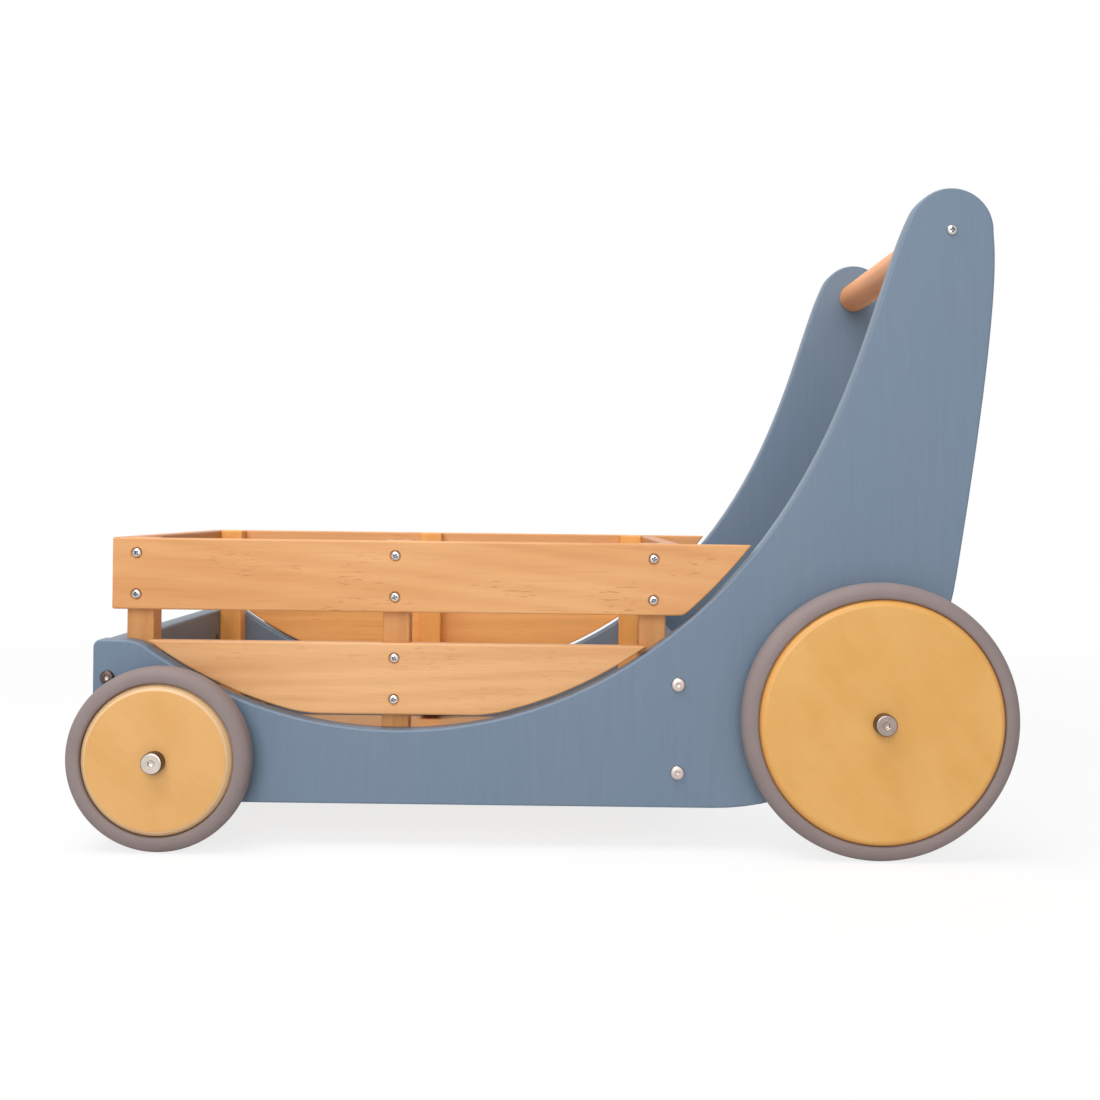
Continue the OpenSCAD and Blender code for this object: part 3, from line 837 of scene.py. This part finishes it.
def plain_shank(radius, top, length):
    """Points down a shank with an eased end."""
    return [(radius, -top), (radius, -length + SHANK_EASE), (radius - SHANK_EASE, -length), (0, -length)]


def screw(length, head):
    """Profile of a pan-head wood screw with a cross recess, its head's top at height 0."""
    deep = RECESS_DEPTH * SCREW_HEIGHT
    shank = SCREW_SHANK * head

    def recess(share):
        return cross(share * RECESS_ARM * head, share * RECESS_HALF * head)
    return [
        (0, -deep - RECESS_POINT),
        (recess(RECESS_FLOOR), -deep),
        (recess(1.0), -RECESS_LIP * SCREW_HEIGHT),
        (recess(RECESS_FLARE), 0.0),
        *dome(SCREW_DOME, head, SCREW_HEIGHT),
        (shank, -SCREW_HEIGHT),
        (shank, -length + SCREW_TAPER * shank),
        (SCREW_TIP * shank, -length),
        (0, -length),
    ]


def bolt(length, head):
    """Profile of a low button-head bolt with a hexagon socket, its head's top at height 0."""
    return [
        *hexagon_socket(*BOLT_SOCKET),
        *dome(BOLT_DOME, head, BOLT_HEIGHT),
        *plain_shank(BOLT_SHANK, BOLT_HEIGHT, length),
    ]


def headed(points, axis):
    """Outer end point, outward direction, length and head radius of a fastener along an axis."""
    low, high = limits(points)
    middle = (low + high) / 2
    flat = [k for k in range(3) if k != axis]
    far = max(points, key=lambda p: sum((p[k] - middle[k]) ** 2 for k in flat))
    sign = 1 if far[axis] > middle[axis] else -1
    end = middle.copy()
    end[axis] = high[axis] if sign > 0 else low[axis]
    direction = Vector([sign if k == axis else 0 for k in range(3)])
    return end, direction, high[axis] - low[axis], (high - low)[flat[0]] / 2


def fasteners(node, axis, profile, look, dark, front_dark):
    """All the fasteners of a node as one piece, whose dark bands take a look of their own: painted shade in
    screw recesses and bolt sockets, and a painted dark reflection on the front bolts' heads.
    """
    parts = []
    for k, points in enumerate(solids(node)):
        end, direction, length, head = headed(points, axis)
        bands = front_dark if end.x < 0 else dark
        shape = turned(profile(length, head), ROUND_COUNT, spin=k * FASTENER_TURN, dark=bands)
        parts.append(moved(shape, end, direction))
    show(node, combined(parts), dark=look)


SCREW_AXES = {"slat_screws": Y, "cross_slat_screws": X, "post_screws": Y, "handle_screws": Y}
for node, axis in SCREW_AXES.items():
    fasteners(node, axis, screw, "screw_recess", SCREW_DARK, SCREW_DARK)
fasteners("board_bolts", Y, bolt, "bolt_painted_shade_and_reflection", BOLT_DARK, FRONT_BOLT_DARK)

# Panels, boards, slats and posts

PANEL_EDGE = 1.5 * MM
BOARD_EDGE = 1.5 * MM
SLAT_EDGE = 1.3 * MM
POST_EDGE = 1.0 * MM
SLAT_SOFT = {"upper": None, "lower": 11 * MM}
# The far slats and far posts take brighter copies of the near pine: painted light
SLAT_LOOKS = {
    ("upper", "left"): "slat_pine", ("upper", "right"): "far_pine_painted_light",
    ("lower", "left"): "low_pine", ("lower", "right"): "far_low_pine_painted_light",
}
POST_LOOKS = {"left": "post_pine", "right": "far_post_pine_painted_light"}
floor_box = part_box("floor_panel")

for side in SIDES:
    panel = "side_panel_" + side
    show(panel, eased(panel, PANEL_EDGE, skip=floor_box, board=True), board=True)
    for level in ("upper", "lower"):
        slat = level + "_slat_" + side
        shape = eased(slat, SLAT_EDGE, soft=SLAT_SOFT[level], board=True)
        show(slat, shape, SLAT_LOOKS[level, side], board=True)
    for place in POSTS:
        post = place + "_post_" + side
        show(post, eased(post, POST_EDGE), POST_LOOKS[side])
for end in ENDS:
    board = end + "_board"
    show(board, eased(board, BOARD_EDGE, only=Y, skip=floor_box))
    slat = end + "_cross_slat"
    # The cross slats take the darker pine: painted shade
    show(slat, eased(slat, SLAT_EDGE, only=Y), "cross_pine_painted_shade")

# Wheels, axle pieces and handle bar

WHEEL_COUNT = 192
# Width and depth of a disc's rounded rims, and the angle of their arc in degrees
RIMS = {"front": (4.8 * MM, 6.6 * MM, 55), "rear": (4.8 * MM, 4.8 * MM, 90)}
RIM_STEPS = 10
# Front and rear discs take plywood copies whose rims differ by painted light and shade
DISC_LOOKS = {"front": "wheel_ply", "rear": "rear_ply_painted_shade"}
TYRE_SHOULDER = 7.0 * MM
TYRE_SHOULDER_STEPS = 16
TYRE_INNER_ROUND = 2.2 * MM
TYRE_INNER_STEPS = 5
# Axle caps, with the socket's flats, depth, cone, lip and flare
CAP_HEIGHT = 8 * MM
CAP_SOCKET = (4.0 * MM, 2.2 * MM, 0.5 * MM, 0.3 * MM, 0.7 * MM)
CAP_ROUND = 1.1 * MM
CAP_ROUND_STEPS = 6
# Outer steps of the rim's arc that, with the side and the socket's walls, take a dark metal: painted shade
# in the socket, a painted dark reflection on the rim and side
CAP_DARK_STEPS = 4
CAP_FLAT = 1.5
CAP_FOOT = 0.3 * MM
CAP_SHANK = 3 * MM
# The rear caps take a darker copy of the steel: a painted dim reflection
CAP_LOOKS = {"front": "cap_steel", "rear": "cap_steel_painted_dim"}
BUSH_EASE = 0.4 * MM
COLLAR_EASE = 0.5 * MM
WASHER_EASE = 0.3 * MM
NUT_EASE = 0.6 * MM
NUT_CROWN = 0.97
NUT_SLOPE = math.tan(math.radians(30))
HANDLE_EASE = 0.6 * MM


def disc(node, bore, rim, look):
    """A plywood disc with rims of a width, a depth, and the angle of their arc."""
    at, size = middle_of(node)
    radius = size.x / 2
    half = size.y / 2
    width, depth, turn = rim
    wide = width / (1 - math.cos(math.radians(turn)))
    deep = depth / math.sin(math.radians(turn))
    top = []
    for r, h in arc((0, 0), 1, 0, turn, RIM_STEPS):
        top.append((radius - wide * (1 - r), half - depth + deep * h))
    profile = [(bore, -half)] + mirrored(top) + top + [(bore, half)]
    show(node, moved(turned(profile, WHEEL_COUNT, True), at, outward(node)), look)


def tyre(node, bore):
    """A rubber tyre with round shoulders."""
    at, size = middle_of(node)
    half = size.y / 2
    shoulder = (size.x / 2 - TYRE_SHOULDER, half - TYRE_SHOULDER)
    inner = (bore + TYRE_INNER_ROUND, half - TYRE_INNER_ROUND)
    top = arc(shoulder, TYRE_SHOULDER, 0, 90, TYRE_SHOULDER_STEPS)
    top += arc(inner, TYRE_INNER_ROUND, 90, 180, TYRE_INNER_STEPS)
    show(node, moved(turned(top + mirrored(top), WHEEL_COUNT, True), at, outward(node)))


def cap(node, look):
    """A round steel cap with a hexagon socket, and its shank in the axle's end; its socket's walls take
    painted shade, and the outer steps of its rounded rim and its side a painted dark reflection.
    """
    low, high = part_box(node)
    at = (low + high) / 2
    way = outward(node)
    at.y = low.y if way[Y] < 0 else high.y
    head = (high - low).x / 2
    profile = hexagon_socket(*CAP_SOCKET)
    profile.append((head - CAP_FLAT * CAP_ROUND, 0.0))
    profile += reversed(arc((head - CAP_ROUND, -CAP_ROUND), CAP_ROUND, 0, 90, CAP_ROUND_STEPS))
    side = len(profile) - 1
    profile += [(head, -CAP_HEIGHT + CAP_FOOT), (head - CAP_FOOT, -CAP_HEIGHT)]
    profile += plain_shank(CAP_SHANK, CAP_HEIGHT, (high - low).y)
    dark = (1, *range(side - CAP_DARK_STEPS, side + 1))
    show(node, moved(turned(profile, ROUND_COUNT, dark=dark), at, way), look, "cap_painted_shade_and_reflection")


def bored(points):
    """Middle and size of a ring along Y, and the radius of its bore."""
    low, high = limits(points)
    at = (low + high) / 2
    return at, high - low, min(math.hypot(p.x - at.x, p.z - at.z) for p in points)


def ring(node, ease):
    """Rings such as bushes, collars and washers, with eased rims."""
    parts = []
    for points in solids(node):
        at, size, bore = bored(points)
        radius = size.x / 2
        half = size.y / 2
        top = [(radius, half - ease), (radius - ease, half), (bore + ease, half), (bore, half - ease)]
        profile = mirrored(top) + top
        parts.append(moved(turned(profile, ROUND_COUNT, True), at, SIDEWAYS))
    show(node, combined(parts))


def nut(node):
    """Hexagon nuts with chamfered corners."""
    parts = []
    for points in solids(node):
        at, size, bore = bored(points)
        half = size.y / 2
        flats = min(size.x, size.z)
        outer = hexagon(flats)
        crown = NUT_CROWN * flats / 2

        def edge(angle):
            """Height of a chamfered corner at an angle."""
            return half - (outer(angle) - crown) * NUT_SLOPE
        profile = [
            (bore, -half + NUT_EASE), (bore + NUT_EASE, -half), (crown, -half), (outer, lambda a: -edge(a)),
            (outer, edge), (crown, half), (bore + NUT_EASE, half), (bore, half - NUT_EASE),
        ]
        spin = math.pi / 6 if size.x > size.z else 0.0
        parts.append(moved(turned(profile, ROUND_COUNT, True, spin=spin), at, SIDEWAYS))
    show(node, combined(parts))


def handle(node):
    """The round bar."""
    at, size = middle_of(node)
    radius = size.x / 2
    half = size.y / 2
    top = [(radius, half - HANDLE_EASE), (radius - HANDLE_EASE, half), (0, half)]
    show(node, moved(turned(mirrored(top) + top, ROUND_COUNT), at, SIDEWAYS))


for end in ENDS:
    for side in SIDES:
        bush = "%s_bush_%s" % (end, side)
        wheel = "%s_wheel_disc_%s" % (end, side)
        disc(wheel, middle_of(bush)[1].x / 2, RIMS[end], DISC_LOOKS[end])
        tyre("%s_tyre_%s" % (end, side), middle_of(wheel)[1].x / 2)
        ring(bush, BUSH_EASE)
        cap("%s_axle_cap_%s" % (end, side), CAP_LOOKS[end])
    ring(end + "_axle_collars", COLLAR_EASE)
    ring(end + "_axle_washers", WASHER_EASE)
    nut(end + "_axle_nuts")
handle("handle_bar")

# CAD nodes whose shape is right, with their looks
KEPT_NODES = {
    "floor_panel": "floor_ply",
    "barrel_nuts": "nut_steel",
    "front_axle_left": "axle_steel",
    "front_axle_right": "axle_steel",
    "rear_axle": "axle_steel",
}
for node, look in KEPT_NODES.items():
    nodes[node].data.materials.clear()
    nodes[node].data.materials.append(looks[look])

# Floor, light and camera


def background_rays(tree):
    """1 for the rays that should see a plain white background."""
    path = add(tree, "ShaderNodeLightPath")
    seen = sums(tree, "ADD", path.outputs["Is Camera Ray"], path.outputs["Is Glossy Ray"])
    return sums(tree, "ADD", seen, path.outputs["Is Transmission Ray"], use_clamp=True)


def floor_material():
    """A matte floor that keeps a soft shadow and fades to white."""
    made = bpy.data.materials.new("studio_floor")
    made.use_nodes = True
    tree = made.node_tree
    tree.nodes.clear()
    seen = background_rays(tree)
    matte = add(tree, "ShaderNodeBsdfDiffuse", {"Color": mixed(tree, "MIX", seen, FLOOR_BOUNCE, FLOOR_SEEN)})
    glow = add(tree, "ShaderNodeEmission", {"Color": WHITE, "Strength": 1.0})
    reach = add(tree, "ShaderNodeVectorMath", {0: placed(tree, (1, 1, 1))}, operation="LENGTH")
    fade = {
        "Value": reach.outputs["Value"], "From Min": FLOOR_NEAR, "From Max": FLOOR_FAR,
        "To Min": FLOOR_GLOW_NEAR, "To Max": FLOOR_GLOW_FAR,
    }
    share = sums(tree, "MULTIPLY", seen, add(tree, "ShaderNodeMapRange", fade).outputs["Result"])
    blend = add(tree, "ShaderNodeMixShader", {0: share, 1: matte.outputs[0], 2: glow.outputs[0]})
    add(tree, "ShaderNodeOutputMaterial", {"Surface": blend.outputs[0]})
    return made


bm = bmesh.new()
bmesh.ops.create_grid(bm, x_segments=FLOOR_CELLS, y_segments=FLOOR_CELLS, size=FLOOR_SIZE / 2)
floor_mesh = bpy.data.meshes.new("studio_floor")
bm.to_mesh(floor_mesh)
bm.free()
floor_mesh.materials.append(floor_material())
studio_floor = bpy.data.objects.new("studio_floor", floor_mesh)
bpy.context.scene.collection.objects.link(studio_floor)

world = bpy.data.worlds.new("studio")
bpy.context.scene.world = world
world.use_nodes = True
tree = world.node_tree
tree.nodes.clear()
room = add(tree, "ShaderNodeBackground", {"Color": WHITE, "Strength": WORLD_LIGHT})
white = add(tree, "ShaderNodeBackground", {"Color": WHITE, "Strength": 1.0})
blend = add(tree, "ShaderNodeMixShader", {0: background_rays(tree), 1: room.outputs[0], 2: white.outputs[0]})
add(tree, "ShaderNodeOutputWorld", {"Surface": blend.outputs[0]})

for name, (at, size, power) in LAMPS.items():
    lamp = bpy.data.lights.new(name, "AREA")
    lamp.shape = "DISK"
    lamp.size = size
    lamp.energy = power
    shown = bpy.data.objects.new(name, lamp)
    shown.location = at
    shown.visible_glossy = name != "back"
    shown.rotation_euler = (LAMP_AIM - Vector(at)).to_track_quat("-Z", "Y").to_euler()
    bpy.context.scene.collection.objects.link(shown)

lens = bpy.data.cameras.new("camera")
lens.sensor_width = CAMERA_SENSOR
lens.lens = CAMERA_LENS
lens.shift_x, lens.shift_y = CAMERA_SHIFT
lens.clip_start = CAMERA_CLIP
camera = bpy.data.objects.new("camera", lens)
upright = Matrix.Rotation(math.pi / 2, 4, "X")
camera.matrix_world = Matrix.Translation(CAMERA_AT) @ upright @ Matrix.Rotation(CAMERA_ROLL, 4, "Z")
bpy.context.scene.collection.objects.link(camera)
bpy.context.scene.camera = camera
bpy.context.scene.view_settings.view_transform = "Standard"
